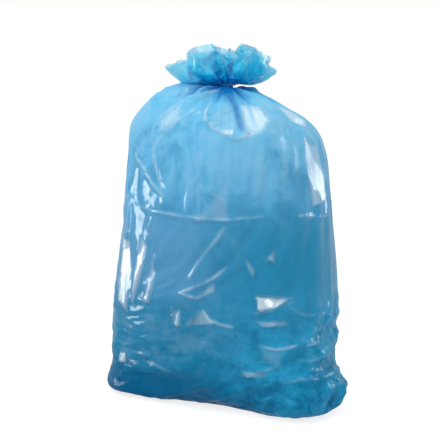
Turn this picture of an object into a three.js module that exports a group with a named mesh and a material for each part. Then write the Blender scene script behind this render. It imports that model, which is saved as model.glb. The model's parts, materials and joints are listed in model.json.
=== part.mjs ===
// A filled garbage bag of thin blue film, standing on its base, gathered at the neck and tied.
// The bag is one closed solid: foot, body, shoulders, neck and the ruffle of loose film above the tie.
// Millimetres, z up. The wide side of the bag lies along x, its front faces -y, and it stands on z = 0.
// Angles round the bag are in degrees from the front, by way of the right-hand end (+x).
import * as THREE from "three";

const { smoothstep, lerp, clamp, degToRad } = THREE.MathUtils;

// Half sizes of the body's boxy oval sections, from the floor up, and how far each lies above the last.
const footHalfWidth = 196;
const footHalfDepth = 116;
const hipRise = 56;
const hipHalfWidth = 231;
const hipHalfDepth = 164;
const bellyRise = 170;
const bellyHalfWidth = 230;
const bellyHalfDepth = 184;
const waistRise = 179;
const waistHalfWidth = 218;
const waistHalfDepth = 196;
const chestRise = 135;
const chestHalfWidth = 206;
const chestHalfDepth = 190;
const shoulderRise = 66;
const shoulderHalfWidth = 172;
const shoulderHalfDepth = 156;
const collarRise = 46;
const collarHalfWidth = 98;
const collarHalfDepth = 84;
const neckRise = 13;

// Heights above the floor.
const hipHeight = hipRise;
const bellyHeight = hipHeight + bellyRise;
const waistHeight = bellyHeight + waistRise;
const chestHeight = waistHeight + chestRise;
const shoulderHeight = chestHeight + shoulderRise;
const collarHeight = shoulderHeight + collarRise;
const neckHeight = collarHeight + neckRise;

// How far the shoulders slump, round the places given in degrees. The left one stands up instead.
const slumps = [
  { angle: 118, degrees: 68, drop: 34 },
  { angle: 288, degrees: 56, drop: -10 },
];
const slumpWidth = 125; // half-width of the section that slumps most
const slumpSpread = 60;

// Exponent of the oval sections: 2 is an ellipse, and more is boxier.
const neckSquareness = 2;
const bodySquareness = 2.4;
const footSquareness = 3.5;

// Neck and the tie that holds it.
const neckRadius = 16;
const neckLength = 10;
const neckPleatDepth = 1.4;
const tieWidth = 4;
const tieThickness = 1.8;
const tieClearance = 0.3;

// Ruffle of loose film above the tie.
const ruffleDroop = 14; // how far its skirt bends down at the ends before it rises
const ruffleSlim = 45; // reach at which the film stands up instead
const ruffleWide = 115; // reach at which it droops by the whole amount
const ruffleLift = 9; // the film stands up this far out of the neck before it spreads
const ruffleFilm = 3.2; // thickness of the gathered film
const ruffleWave = 10;
const throatHeight = 30; // above the neck
const throatRadius = 9;

// The ruffle's rim at some angles: how far out it lies, and how far above the neck.
const rim = [
  { angle: 25, reach: 48, rise: 66 },
  { angle: 55, reach: 60, rise: 70 },
  { angle: 80, reach: 80, rise: 78 },
  { angle: 101, reach: 92, rise: 56 },
  { angle: 117, reach: 95, rise: 38 },
  { angle: 133, reach: 86, rise: 56 },
  { angle: 150, reach: 80, rise: 82 },
  { angle: 180, reach: 56, rise: 88 },
  { angle: 205, reach: 42, rise: 74 },
  { angle: 230, reach: 56, rise: 86 },
  { angle: 260, reach: 80, rise: 84 },
  { angle: 277, reach: 92, rise: 64 },
  { angle: 293, reach: 108, rise: 44 },
  { angle: 309, reach: 98, rise: 52 },
  { angle: 330, reach: 80, rise: 74 },
  { angle: 355, reach: 60, rise: 70 },
];

// Pleats, from the neck down over the shoulders.
const pleatCount = 12;
const shoulderPleatDepth = 10;
const pleatFade = shoulderHeight - 24; // the height where the pleats have died out
const pleatSharpness = 1.6; // 1 is a plain wave, and more has narrower folds between its crests

// How uneven the pleats are: how many times round, where it starts, in radians, and by how much.
const pleatDrift = [
  { waves: 2, start: -0.97, size: 0.9 },
  { waves: 3, start: 0.53, size: 0.7 },
]; // in radians of the pleats' own wave
// Broad swells in the body's panels.
const panelSwell = 5;
const panelTwist = 170; // height over which a swell moves on by one radian
const panelDrift = 240;

// Bulges and hollows, each with its place in degrees and millimetres, its spread and how far it stands out.
const bulges = [
  { angle: 78, height: 58, degrees: 14, tall: 22, out: 46 }, // welded bottom corner at the right-hand end
  { angle: 80, height: 195, degrees: 28, tall: 16, out: 7 }, // roll of film low on the right
  { angle: 272, height: 55, degrees: 20, tall: 28, out: 8 }, // tucked bottom corner at the left-hand end
  { angle: 56, height: 30, degrees: 21, tall: 58, out: 46 }, // contents that lie in the front right corner
  { angle: 84, height: 10, degrees: 18, tall: 22, out: 34 }, // film that sags below the welded corner
  { angle: 14, height: 28, degrees: 24, tall: 42, out: -14 }, // hollow between the bottom's two bulges
  { angle: 310, height: 18, degrees: 22, tall: 30, out: 27 }, // and those in the front left one
  { angle: 300, height: 130, degrees: 32, tall: 160, out: 8 },
  { angle: 299, height: chestHeight - 20, degrees: 34, tall: 60, out: -5 }, // slack film before the left shoulder
  { angle: 288, height: shoulderHeight - 24, degrees: 32, tall: 42, out: 14 }, // corner of that shoulder
];

// Folds and creases in the film. Each runs past some places, in degrees and millimetres up.
const folds = [
  // Where the empty bag was laid flat, and where it was folded in half.
  { along: [[90, 60], [90, chestHeight]], width: 12, out: 4 },
  { along: [[270, 60], [270, chestHeight]], width: 12, out: 4 },
  { along: [[-180, waistHeight], [0, waistHeight + 9], [66, waistHeight + 9]], width: 13, out: 3.5 },
  { along: [[66, waistHeight + 9], [103, waistHeight - 10], [180, waistHeight]], width: 13, out: 3.5 },
  // The front's edge over the left shoulder, and the slack film beside it.
  { along: [[357, 645], [337, 632], [335, 606], [333, 560]], width: 16, out: 7 },
  { along: [[335, 645], [318, 620], [316, 580], [320, 548]], width: 15, out: -6 },
  { along: [[354, 612], [346, 590], [338, 545]], width: 13, out: 4 },
  // The bib that hangs down from the neck.
  { along: [[6, 620], [9, 600], [21, 579], [31, 567], [42, 573], [56, 594]], width: 15, out: 7 },
  { along: [[2, 585], [20, 556], [34, 545], [50, 560]], width: 15, out: -3 },
  { along: [[27, 640], [30, 605], [32, 580]], width: 12, out: -5 },
  { along: [[46, 640], [47, 610], [48, 585]], width: 13, out: 5 },
  // The folds over the right shoulder.
  { along: [[64, 636], [75, 606], [80, 560], [84, 500], [85, 430]], width: 16, out: 7 },
  { along: [[94, 620], [94, 560], [98, 500]], width: 15, out: 5 },
  { along: [[62, 585], [65, 530], [64, 470]], width: 15, out: -4 },
  // The long folds before the left shoulder and down the left-hand edge.
  { along: [[313, 548], [324, 520], [334, 498], [346, 450]], width: 14, out: 6 },
  { along: [[335, 560], [340, 510], [345, 455]], width: 13, out: -5 },
  { along: [[314, 490], [316, 430], [311, 320], [309, 200]], width: 15, out: 6 },
  { along: [[333, 360], [322, 260], [319, 215]], width: 14, out: 5 },
  { along: [[310, 120], [324, 82], [346, 84]], width: 14, out: 4 },
  // The slanting folds on the front, and the ledge in its middle.
  { along: [[25, 402], [13, 341], [0, 282]], width: 14, out: 4 },
  { along: [[26, 316], [10, 277], [356, 256]], width: 13, out: 3 },
  { along: [[36, 264], [50, 262], [63, 257]], width: 13, out: -5 },
  { along: [[38, 220], [48, 231], [61, 245]], width: 14, out: 8 },
  { along: [[0, 187], [10, 222], [28, 194]], width: 14, out: 4 },
  // The rolls of film low on the right.
  { along: [[58, 234], [66, 214], [84, 210]], width: 15, out: 6 },
  { along: [[60, 190], [82, 180]], width: 14, out: 5 },
  { along: [[42, 155], [50, 149], [66, 157], [80, 150]], width: 15, out: 7 },
  { along: [[59, 127], [68, 120], [88, 130]], width: 14, out: 6 },
  { along: [[56, 104], [70, 102], [90, 108]], width: 14, out: -7 },
  { along: [[32, 92], [46, 105]], width: 13, out: 5 },
  { along: [[52, 85], [68, 87], [90, 86]], width: 14, out: 7 },
  // The back.
  { along: [[150, 600], [158, 540], [152, 470]], width: 15, out: 6 },
  { along: [[205, 600], [212, 520], [206, 440]], width: 15, out: 6 },
  { along: [[240, 590], [236, 500]], width: 14, out: -5 },
  { along: [[182, 330], [204, 240]], width: 14, out: 5 },
  { along: [[128, 170], [150, 152], [170, 160]], width: 14, out: 6 },
  { along: [[222, 130], [244, 145], [262, 138]], width: 14, out: 5 },
];
const foldStep = 12; // degrees between the points that a fold follows
const foldStart = 6; // the height where folds begin, and the height where they stand out fully
const foldFull = 45;

// How finely the surface is divided.
const segments = 96;
const footRows = 3;
const heelRows = 5;
const bodyRows = 36;
const ruffleRows = 7;
const throatRow = 4; // the lowest row of the ruffle's inner face
const tieSegments = 48;
const normalStep = 0.5; // degrees

// A rounded bump, 1 at no distance and fading over the given width.
function bump(distance, width) {
  return Math.exp(-((distance / width) ** 2));
}

// The shortest way round from one angle to another, in degrees.
function apart(angle, centre) {
  return ((((angle - centre + 180) % 360) + 360) % 360) - 180;
}

// A level direction from the middle at an angle, scaled by a distance to each side and to the front.
function outward(angle, sideways, forward, height) {
  const a = degToRad(angle);
  return new THREE.Vector3(sideways * Math.sin(a), -forward * Math.cos(a), height);
}

// The sum of some ripples at an angle.
function ripple(ripples, angle) {
  return ripples.reduce((sum, r) => sum + r.size * Math.cos(r.waves * degToRad(angle) + r.start), 0);
}

// The pleats' wave round the neck, uneven as gathered film is: 1 on a crest and -1 in a fold.
function pleatWave(angle) {
  const wave = Math.cos(pleatCount * degToRad(angle) + ripple(pleatDrift, angle));
  return 1 - 2 * ((1 - wave) / 2) ** pleatSharpness;
}

// The rail gives half-width, half-depth and height from the middle of the foot to the neck.
const rail = [];
for (let i = 0; i < footRows; i++) {
  rail.push(new THREE.Vector3((footHalfWidth * i) / footRows, (footHalfDepth * i) / footRows, 0));
}
for (let i = 0; i < heelRows; i++) {
  const t = ((i / heelRows) * Math.PI) / 2;
  rail.push(
    new THREE.Vector3(
      lerp(footHalfWidth, hipHalfWidth, Math.sin(t)),
      lerp(footHalfDepth, hipHalfDepth, Math.sin(t)),
      hipHeight * (1 - Math.cos(t)),
    ),
  );
}
const side = new THREE.CatmullRomCurve3(
  [
    new THREE.Vector3(hipHalfWidth, hipHalfDepth, hipHeight),
    new THREE.Vector3(bellyHalfWidth, bellyHalfDepth, bellyHeight),
    new THREE.Vector3(waistHalfWidth, waistHalfDepth, waistHeight),
    new THREE.Vector3(chestHalfWidth, chestHalfDepth, chestHeight),
    new THREE.Vector3(shoulderHalfWidth, shoulderHalfDepth, shoulderHeight),
    new THREE.Vector3(collarHalfWidth, collarHalfDepth, collarHeight),
    new THREE.Vector3(neckRadius, neckRadius, neckHeight - neckLength / 2),
  ],
  false,
  "centripetal",
);
rail.push(...side.getSpacedPoints(bodyRows));

// A point of an oval section at an angle round the bag.
function ovalPoint(section, angle) {
  const a = degToRad(angle);
  const low = lerp(footSquareness, bodySquareness, smoothstep(section.z, hipHeight, waistHeight));
  const squareness = lerp(neckSquareness, low, smoothstep(section.x, neckRadius, collarHalfWidth));
  const nearShoulder = smoothstep(section.z, waistHeight, shoulderHeight);
  const slumped = nearShoulder * bump(section.x - slumpWidth, slumpSpread);
  let drop = 0;
  for (const s of slumps) {
    drop += s.drop * slumped * bump(apart(angle, s.angle), s.degrees);
  }
  const boxy = Math.abs(Math.sin(a)) ** squareness + Math.abs(Math.cos(a)) ** squareness;
  const reach = boxy ** (-1 / squareness);
  return outward(angle, section.x * reach, section.y * reach, section.z - drop);
}

// The plain body's surface at an angle and a height.
function onBody(angle, height) {
  let lower = ovalPoint(rail[footRows], angle);
  for (const section of rail.slice(footRows + 1)) {
    const upper = ovalPoint(section, angle);
    if (upper.z > height) {
      return lower.lerp(upper, clamp((height - lower.z) / (upper.z - lower.z), 0, 1));
    }
    lower = upper;
  }
  return lower;
}

// Each fold as short straight lines on the plain body.
const foldLines = folds.map((fold) => {
  const lines = [];
  for (let i = 1; i < fold.along.length; i++) {
    const [angle, height] = fold.along[i - 1];
    const [nextAngle, nextHeight] = fold.along[i];
    const turn = Math.abs(nextAngle - angle) > 180 ? apart(nextAngle, angle) : nextAngle - angle;
    const steps = Math.ceil(Math.abs(turn) / foldStep) + 1;
    const points = Array.from({ length: steps + 1 }, (_, k) =>
      onBody(angle + (turn * k) / steps, lerp(height, nextHeight, k / steps)),
    );
    lines.push(...points.slice(1).map((point, k) => new THREE.Line3(points[k], point)));
  }
  return lines;
});

// How far a place is from the nearest of some lines.
function farFrom(lines, place) {
  const nearest = new THREE.Vector3();
  return Math.min(...lines.map((line) => line.closestPointToPoint(place, true, nearest).distanceTo(place)));
}

// How far the film stands out of the plain body at an angle and a height.
function foldHeight(angle, section) {
  const a = degToRad(angle);
  const z = section.z;
  const offFloor = smoothstep(z, foldStart, foldFull);
  const pleated = smoothstep(z, pleatFade, collarHeight);
  const spread = smoothstep(section.x, neckRadius, collarHalfWidth);
  const depth = lerp(neckPleatDepth, shoulderPleatDepth, spread);
  const swell = panelSwell * Math.sin(3 * a + 1.2 + z / panelTwist) * Math.cos(2 * a - z / panelDrift);
  let out = pleatWave(angle) * pleated * depth + swell * offFloor * (1 - pleated);
  for (const b of bulges) {
    out += b.out * bump(apart(angle, b.angle), b.degrees) * bump(z - b.height, b.tall);
  }
  const place = ovalPoint(section, angle);
  folds.forEach((fold, i) => {
    out += fold.out * bump(farFrom(foldLines[i], place), fold.width) * offFloor;
  });
  return out;
}

// The outward direction of the plain body at a row and an angle. It is level at the floor.
function bodyNormal(row, angle) {
  const up = ovalPoint(rail[Math.min(row + 1, rail.length - 1)], angle);
  const down = ovalPoint(rail[row - 1], angle);
  const next = ovalPoint(rail[row], angle + normalStep);
  const last = ovalPoint(rail[row], angle - normalStep);
  const level = 1 - smoothstep(rail[row].z, 0, hipHeight);
  const climb = up.sub(down).normalize().lerp(new THREE.Vector3(0, 0, 1), level);
  return next.sub(last).cross(climb).normalize();
}

// A point of the body's film. The foot's rows lie flat on the floor and follow the bulges at its edge.
function bodyPoint(row, angle) {
  const section = rail[row];
  const out = foldHeight(angle, section) * Math.min(row / footRows, 1);
  return ovalPoint(section, angle).addScaledVector(bodyNormal(row, angle), out);
}

// How far out the ruffle's rim lies at an angle, and how far above the neck.
function rimAt(angle) {
  const next = rim.findIndex((r) => r.angle > angle);
  const after = rim[Math.max(next, 0)];
  const before = rim.at(next > 0 ? next - 1 : -1);
  const share = smoothstep(apart(angle, before.angle) / apart(after.angle, before.angle), 0, 1);
  return { reach: lerp(before.reach, after.reach, share), rise: lerp(before.rise, after.rise, share) };
}

// The ruffle's middle line in the upright plane at an angle, from the neck to the rim.
function ruffleCurve(angle) {
  const { reach, rise } = rimAt(angle);
  const flat = smoothstep(reach, ruffleSlim, ruffleWide);
  return new THREE.CubicBezierCurve(
    new THREE.Vector2(neckRadius, neckHeight + neckLength / 2),
    new THREE.Vector2(neckRadius + 3, neckHeight + ruffleLift),
    new THREE.Vector2(lerp(neckRadius, reach, 0.8), neckHeight + lerp(rise * 0.45, -ruffleDroop, flat)),
    new THREE.Vector2(reach, neckHeight + rise),
  );
}

// A point of the ruffle's outer face, or of its inner face when inset is the thickness of the film.
function rufflePoint(share, angle, inset) {
  const curve = ruffleCurve(angle);
  const point = curve.getPoint(share);
  const along = curve.getTangent(share);
  const offset = pleatWave(angle) * lerp(neckPleatDepth, ruffleWave, share) - inset;
  const radius = point.x + along.y * offset;
  return outward(angle, radius, radius, point.y - along.x * offset);
}

// Every row of the bag from the middle of the foot, up and over the ruffle's rim, to the throat.
const rows = [(angle) => ovalPoint(rail[0], angle)];
for (let row = 1; row < rail.length; row++) {
  rows.push((angle) => bodyPoint(row, angle));
}
for (let i = 0; i <= ruffleRows; i++) {
  rows.push((angle) => rufflePoint(i / ruffleRows, angle, 0));
}
for (let i = ruffleRows; i >= throatRow; i--) {
  rows.push((angle) => rufflePoint(i / ruffleRows, angle, ruffleFilm));
}
rows.push((angle) => outward(angle, throatRadius, throatRadius, neckHeight + throatHeight));
rows.push((angle) => outward(angle, 0, 0, neckHeight + throatHeight));

// A turned body with one point for each row, then every point is put in its place.
function makeBag() {
  const turned = new THREE.LatheGeometry(
    rows.map((_, i) => new THREE.Vector2(i === 0 || i === rows.length - 1 ? 0 : 1, i)),
    segments,
  );
  const places = turned.getAttribute("position");
  for (let i = 0; i <= segments; i++) {
    const angle = ((i % segments) * 360) / segments;
    rows.forEach((place, j) => {
      const p = place(angle);
      places.setXYZ(i * rows.length + j, p.x, p.y, p.z);
    });
  }
  turned.deleteAttribute("normal");
  turned.deleteAttribute("uv");
  turned.computeBoundingBox();
  return turned;
}

// A flat band round the neck, upright and centred on its own middle.
function makeTie() {
  const inner = neckRadius + neckPleatDepth + tieClearance;
  const outer = inner + tieThickness;
  const half = tieWidth / 2;
  const ring = [
    new THREE.Vector2(inner, -half),
    new THREE.Vector2(outer, -half),
    new THREE.Vector2(outer, half),
    new THREE.Vector2(inner, half),
    new THREE.Vector2(inner, -half),
  ];
  return new THREE.LatheGeometry(ring, tieSegments).rotateX(Math.PI / 2);
}

const film = new THREE.MeshStandardMaterial({ color: 0x4fa5d8, roughness: 0.22, metalness: 0 });
const tieFilm = new THREE.MeshStandardMaterial({ color: 0x0d5fae, roughness: 0.35, metalness: 0 });

const bag = new THREE.Mesh(makeBag(), film);
bag.name = "bag";
const tie = new THREE.Mesh(makeTie(), tieFilm);
tie.name = "neck_tie";
tie.position.z = neckHeight;

// The middle of the whole footprint is put at x = 0, y = 0.
const box = bag.geometry.boundingBox;
const object = new THREE.Group();
object.add(bag, tie);
object.position.set(-(box.min.x + box.max.x) / 2, -(box.min.y + box.max.y) / 2, 0);
const part = new THREE.Group();
part.add(object);

export default part;
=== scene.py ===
import json
import math

import bmesh
import bpy
import numpy as np
from mathutils import Matrix, Vector, noise

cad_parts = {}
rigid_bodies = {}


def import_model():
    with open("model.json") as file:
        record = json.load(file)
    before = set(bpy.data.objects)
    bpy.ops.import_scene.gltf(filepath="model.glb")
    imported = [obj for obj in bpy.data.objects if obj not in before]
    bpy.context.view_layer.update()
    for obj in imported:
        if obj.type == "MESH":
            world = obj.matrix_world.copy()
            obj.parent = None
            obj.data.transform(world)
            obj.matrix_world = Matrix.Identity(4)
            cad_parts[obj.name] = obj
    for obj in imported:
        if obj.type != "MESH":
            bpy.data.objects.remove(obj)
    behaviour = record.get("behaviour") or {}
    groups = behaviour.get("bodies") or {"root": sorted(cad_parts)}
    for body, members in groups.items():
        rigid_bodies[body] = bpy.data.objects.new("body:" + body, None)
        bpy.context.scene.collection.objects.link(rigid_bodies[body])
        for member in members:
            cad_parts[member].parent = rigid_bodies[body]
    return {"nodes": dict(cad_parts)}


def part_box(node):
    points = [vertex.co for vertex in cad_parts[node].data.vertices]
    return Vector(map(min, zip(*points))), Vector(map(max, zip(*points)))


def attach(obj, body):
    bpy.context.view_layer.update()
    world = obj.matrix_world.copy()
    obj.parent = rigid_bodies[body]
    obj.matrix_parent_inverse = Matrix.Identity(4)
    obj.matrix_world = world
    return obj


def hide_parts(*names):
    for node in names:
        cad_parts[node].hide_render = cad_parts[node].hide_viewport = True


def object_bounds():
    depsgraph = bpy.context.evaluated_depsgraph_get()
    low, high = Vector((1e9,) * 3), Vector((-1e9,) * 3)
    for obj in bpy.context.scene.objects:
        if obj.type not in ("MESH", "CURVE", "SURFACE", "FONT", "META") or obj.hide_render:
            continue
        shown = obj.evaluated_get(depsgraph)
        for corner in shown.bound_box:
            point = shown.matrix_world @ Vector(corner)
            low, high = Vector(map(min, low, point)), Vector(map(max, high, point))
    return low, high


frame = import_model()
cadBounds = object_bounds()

# A filled garbage bag of thin blue film, tied at the neck, with a ruffle of loose film above the tie.
# Metres, z up. Angles round the bag are in degrees from the front, by way of the right-hand end.

print("stage: camera and light")

cameraSetup = {
    "azimuth": 25.2,
    "elevation": 9.86,
    "distance": 2.094,
    "target": (-0.0317, 0.0, 0.3674),
    "viewAngle": 26.04,  # of the whole picture, in degrees
}


def fromAngles(azimuth, elevation, distance):
    a, e = math.radians(azimuth), math.radians(elevation)
    return Vector((math.sin(a) * math.cos(e), -math.cos(a) * math.cos(e), math.sin(e))) * distance


def aimAt(thing, target):
    thing.rotation_mode = "QUATERNION"
    thing.rotation_quaternion = (Vector(target) - thing.location).to_track_quat("-Z", "Y")


def addCamera():
    c = cameraSetup
    place = Vector(c["target"]) + fromAngles(c["azimuth"], c["elevation"], c["distance"])
    bpy.ops.object.camera_add(location=place)
    camera = bpy.context.object
    camera.data.sensor_width = 36
    camera.data.lens = 18 / math.tan(math.radians(c["viewAngle"] / 2))
    aimAt(camera, c["target"])
    bpy.context.scene.camera = camera


# Each softbox: where it stands round the bag, how far off, its size and its strength in watts.
# Only the one that lights the colours does so: the others are there for the film's shine.
softboxes = {
    "leftBox": {"azimuth": -62, "elevation": -5, "distance": 1.6, "size": (0.42, 0.38), "power": 17},
    "rightBox": {"azimuth": 127, "elevation": 12, "distance": 1.6, "size": (0.6, 0.6), "power": 18},
    "topBox": {"azimuth": 30, "elevation": 74, "distance": 1.5, "size": (0.5, 0.34), "power": 10},
    "frontBox": {"azimuth": 90, "elevation": 33, "distance": 2.2, "size": (0.42, 0.42), "power": 24},
    "keyBox": {
        "azimuth": -20, "elevation": 58, "distance": 2.4, "size": (1.2, 1.2), "power": 14, "lights": True,
    },
}
studio = {
    "lightLevel": 0.75,  # of the world's light on the bag
    "worldColour": (1, 1, 1),
    "floorColour": (0.8, 0.82, 0.84),
    "floorShownColour": (0.42, 0.42, 0.42),
    "floorGlow": 0.78,
    "floorSize": 40,
}


def addSoftboxes():
    for name, s in softboxes.items():
        place = Vector(cameraSetup["target"]) + fromAngles(s["azimuth"], s["elevation"], s["distance"])
        bpy.ops.object.light_add(type="AREA", location=place)
        lamp = bpy.context.object
        lamp.name = name
        lamp.data.shape = "RECTANGLE"
        lamp.data.size, lamp.data.size_y = s["size"]
        lamp.data.energy = s["power"]
        lamp.visible_diffuse = s.get("lights", False)
        aimAt(lamp, cameraSetup["target"])


class Wire:
    # One socket of a node tree, so that shader maths reads as plain expressions.
    def __init__(self, sheet, socket):
        self.sheet = sheet
        self.socket = socket

    def math(self, operation, *others, clamp=False):
        settings = {"operation": operation, "use_clamp": clamp}
        return self.sheet.node("ShaderNodeMath", settings, self, *others)

    def __add__(self, other):
        return self.math("ADD", other)

    def __radd__(self, other):
        return self.math("ADD", other)

    def __mul__(self, other):
        return self.math("MULTIPLY", other)

    def __rmul__(self, other):
        return self.math("MULTIPLY", other)

    def __sub__(self, other):
        return self.math("SUBTRACT", other)

    def __rsub__(self, other):
        return self.sheet.node("ShaderNodeMath", {"operation": "SUBTRACT"}, other, self)

    def __truediv__(self, other):
        return self.math("DIVIDE", other)

    def clamped(self):
        return self.math("ADD", 0.0, clamp=True)

    def ramp(self, low, high, smooth=True):
        # 0 below low and 1 above high
        kind = "SMOOTHSTEP" if smooth else "LINEAR"
        settings = {"interpolation_type": kind, "clamp": True}
        return self.sheet.node("ShaderNodeMapRange", settings, self, low, high, 0.0, 1.0)


class ShaderSheet:
    # A material's node tree, with one method that adds any node.
    def __init__(self, owner):
        # owner is a new material's name, or a world
        self.material = bpy.data.materials.new(owner) if isinstance(owner, str) else owner
        self.material.use_nodes = True
        self.tree = self.material.node_tree
        self.shader = self.tree.nodes.get("Principled BSDF")

    def put(self, socket, value):
        # a link, a colour of three numbers, or any plain value
        if isinstance(value, Wire):
            self.tree.links.new(value.socket, socket)
        elif isinstance(value, tuple) and len(value) == 3 and len(socket.default_value) == 4:
            socket.default_value = (*value, 1.0)
        else:
            socket.default_value = value

    def node(self, kind, settings, *values, out=0, **named):
        made = self.tree.nodes.new(kind)
        for key, value in settings.items():
            if key == "stops":
                self.setStops(made.color_ramp, value)
            else:
                setattr(made, key, value)
        free = [s for s in made.inputs if s.enabled and not s.hide]
        for socket, value in zip(free, values):
            self.put(socket, value)
        for key, value in named.items():
            self.put(made.inputs[key.replace("_", " ")], value)
        return Wire(self, made.outputs[out])

    def place(self):
        return self.node("ShaderNodeTexCoord", {}, out="Object")

    def noise(self, vector, settings):
        return self.node("ShaderNodeTexNoise", {}, Vector=vector, **settings)

    def attribute(self, name):
        return self.node("ShaderNodeAttribute", {"attribute_name": name}, out="Fac")

    def vector(self, operation, *vectors, out=0):
        return self.node("ShaderNodeVectorMath", {"operation": operation}, *vectors, out=out)

    def parts(self, vector):
        split = self.node("ShaderNodeSeparateXYZ", {}, vector)
        outputs = split.socket.node.outputs
        return [Wire(self, outputs[axis]) for axis in "XYZ"]

    def setStops(self, ramp, stops):
        while len(ramp.elements) < len(stops):
            ramp.elements.new(0.5)
        for element, (place, colour) in zip(ramp.elements, stops):
            element.position = place
            element.color = (*colour, 1)

    def blend(self, share, first, second):
        settings = {"data_type": "RGBA"}
        return self.node("ShaderNodeMix", settings, share, first, second, out=2)

    def finish(self, **sockets):
        for key, value in sockets.items():
            self.put(self.shader.inputs[key.replace("_", " ")], value)
        return self.material


def shownShare(sheet):
    # 1 for what the camera sees by itself, in a reflection or through a clear surface, and 0 for light
    rays = ("Is Camera Ray", "Is Glossy Ray", "Is Transmission Ray")
    camera, glossy, through = (sheet.node("ShaderNodeLightPath", {}, out=ray) for ray in rays)
    return camera.math("MAXIMUM", glossy).math("MAXIMUM", through)


def addWorld():
    world = bpy.data.worlds.new("studio")
    bpy.context.scene.world = world
    world.use_nodes = True
    sheet = ShaderSheet(world)
    shown = shownShare(sheet)
    strength = shown * (1.0 - studio["lightLevel"]) + studio["lightLevel"]
    sheet.put(sheet.tree.nodes["Background"].inputs["Strength"], strength)
    sheet.put(sheet.tree.nodes["Background"].inputs["Color"], studio["worldColour"])


def addFloor():
    bpy.ops.object.select_all(action="DESELECT")
    bpy.ops.mesh.primitive_plane_add(size=studio["floorSize"], location=(0, 0, 0))
    floor = bpy.context.object
    floor.name = "floor"
    # What the camera sees of the floor is white where no shadow falls on it.
    sheet = ShaderSheet("paleFloor")
    glow = shownShare(sheet) * studio["floorGlow"]
    shown = shownShare(sheet)
    colour = sheet.blend(shown, studio["floorColour"], studio["floorShownColour"])
    floor.data.materials.append(
        sheet.finish(
            Base_Color=colour,
            Roughness=1.0,
            Specular_IOR_Level=0.0,
            Emission_Color=(1, 1, 1),
            Emission_Strength=glow,
        )
    )


addCamera()
addSoftboxes()
addWorld()
addFloor()

bpy.context.scene.view_settings.view_transform = "Standard"

print("stage: bag")

noiseSeed = 19  # of every random shape, so that each run gives the same bag
noise.seed_set(noiseSeed)


def middleOf(node):
    low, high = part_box(node)
    return (low + high) / 2


neck = middleOf("neck_tie")
bagSetup = {
    "neckHeight": neck.z,
    "deepFold": 27,  # degrees round to the deep fold under the tie
    "neckEnd": 0.004,  # the body's film ends this far above the middle of the tie, inside the ruffle
    "mergeDistance": 0.00002,
}


def soloSelect(piece):
    bpy.ops.object.select_all(action="DESELECT")
    piece.select_set(True)
    bpy.context.view_layer.objects.active = piece


def editMode(mode):
    bpy.ops.object.mode_set(mode=mode)


def mergedCopy(node, name):
    cad = frame["nodes"][node]
    soloSelect(cad)
    bpy.ops.object.duplicate()
    piece = bpy.context.object
    piece.name = name
    piece.parent = None
    piece.matrix_world = Matrix.Identity(4)
    for key in list(piece.keys()):
        if key.startswith("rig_"):
            del piece[key]
    soloSelect(piece)
    editMode("EDIT")
    bpy.ops.mesh.select_all(action="SELECT")
    bpy.ops.mesh.remove_doubles(threshold=bagSetup["mergeDistance"])
    bpy.ops.mesh.tris_convert_to_quads()
    editMode("OBJECT")
    return piece


# Colours of the film from the floor up, as shares of the height: partly the film against the waste and the air
# behind it, partly painted shade, darker towards the floor, and painted light, paler towards the top.
filmColoursAndShading = [
    (0.0, (0.001, 0.115, 0.265)),
    (0.08, (0.002, 0.160, 0.330)),
    (0.15, (0.008, 0.235, 0.430)),
    (0.26, (0.024, 0.265, 0.480)),
    (0.42, (0.038, 0.300, 0.530)),
    (0.55, (0.085, 0.410, 0.700)),
    (0.72, (0.160, 0.550, 0.870)),
    (0.84, (0.150, 0.590, 0.900)),
]
veilColours = {
    "pale": (0.36, 0.66, 0.88),
    "frosted": (0.095, 0.310, 0.510),
    "bright": (0.030, 0.430, 0.740),
    "clear": (0.018, 0.270, 0.480),
    "milky": (0.140, 0.400, 0.670),
    "deep": (0.004, 0.190, 0.390),
    # the crease colour is partly the film's own whitening and partly a painted highlight, and the sheen colour
    # is a painted highlight on the slack facets
    "crest": (0.55, 0.78, 0.92),
    "sheen": (0.80, 0.90, 0.96),
    "core": (0.002, 0.180, 0.520),  # round the neck: partly gathered layers of film, partly painted shade; also the painted shade of the deep folds
}
# How strongly each tint shows.
veilShares = {
    "sway": 0.14,  # how far the colours by height wander up and down
    "deep": 0.38,
    "pale": 0.45,
    "clear": 0.7,
    "milky": 0.55,
    "frosted": 0.75,
    "bright": 0.65,
    "strands": 0.35,
    "crest": 0.3,  # at the least, between the strands
    "sheen": 1.6,
}
# Where each tint begins and where it is full, in metres.
veilZones = {
    "crumpled": (0.16, 0.30),  # the low part ends here
    "right": (0.06, 0.20),  # along x and to the front
    "upper": (0.38, 0.52),
    "middle": (0.20, 0.28),
    "middleEnd": (0.36, 0.46),
    "clear": (0.02, 0.13),  # along x
    "milkyFrom": 0.07,
    "milky": (0.0, 0.10),  # to the left of there
    "foot": (0.06, 0.13),
    "strands": (0.25, 0.55),
    "neck": (0.55, 0.62),
    "bib": (0.57, 0.61),
}
neckShade = {
    "raysReach": 0.16,  # how far the rays differ
    "gathered": (0.035, 0.125),  # reach of the deep colour from the neck's axis
    "foldWidth": (0.005, 0.022),
    "foldReach": (0.09, 0.14),
    "foldSide": (0.0, 0.01),  # only to the front
}
filmNoises = {
    "sway": {"Scale": 7.0, "Detail": 5.0, "Roughness": 0.6},
    "patches": {"Scale": 9.0, "Detail": 6.0, "Roughness": 0.65, "Distortion": 0.6},
    "mottle": {"Scale": 24.0, "Detail": 6.0, "Roughness": 0.7, "Distortion": 0.4},
    "strands": {"Scale": 22.0, "Detail": 4.0, "Roughness": 0.6},
    "rays": {"Scale": 5.0, "Detail": 5.0, "Roughness": 0.65},
    "fineRays": {"Scale": 17.0, "Detail": 4.0, "Roughness": 0.6},
}
strandStretch = (1.0, 1.0, 0.22)  # strands run up and down
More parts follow.
